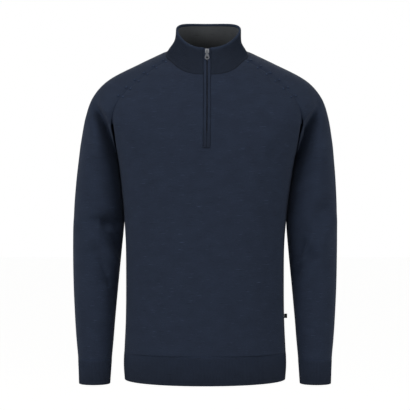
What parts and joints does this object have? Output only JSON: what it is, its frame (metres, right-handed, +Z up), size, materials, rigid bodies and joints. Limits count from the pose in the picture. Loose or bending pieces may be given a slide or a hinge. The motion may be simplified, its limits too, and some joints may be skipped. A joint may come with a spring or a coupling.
{
  "type": "quarter zip sweater",
  "caption": "Navy fine-knit quarter zip sweater, filled out and hollow, with raglan sleeves, a ribbed stand collar, cuffs and hem, and a metal zip pull.",
  "frame": {"origin": "between the shoulders, level with the place where the shoulder runs into the collar, where the wearer holds it", "axes": "+Z up, the front faces -Y, +X to the wearer's left"},
  "size_m": [0.5494, 0.2505, 0.7513],
  "materials": {
    "plain_knit": "fine plain knit in navy with a faint fleck, matt",
    "ribbed_knit": "fine rib knit in the same navy yarn, darker in its furrows",
    "grey_knit": "plain knit in dark grey, matt",
    "zip_tape": "woven tape, near black",
    "zip_metal": "satin silver grey",
    "label_tape": "woven tape, greenish black"
  },
  "bodies": {
    "garment": {"front": "plain_knit", "back": "plain_knit", "sleeve_left": "plain_knit", "sleeve_right": "plain_knit", "hem_band": "ribbed_knit", "cuff_left": "ribbed_knit", "cuff_right": "ribbed_knit", "collar": "ribbed_knit", "collar_lining": "grey_knit", "zip_welt_left": "ribbed_knit", "zip_welt_right": "ribbed_knit", "zip_tape_left": "zip_tape", "zip_tape_right": "zip_tape", "zip_slider": "zip_metal", "side_label": "label_tape"},
    "pull": {"zip_pull": "zip_metal"}
  },
  "joints": [
    {"name": "pull_swing", "type": "hinge", "parent": "garment", "child": "pull", "pos_m": [0.0042, -0.07541, -0.00828], "axis": [-1, 0, 0], "range_deg": [0, 165]}
  ]
}
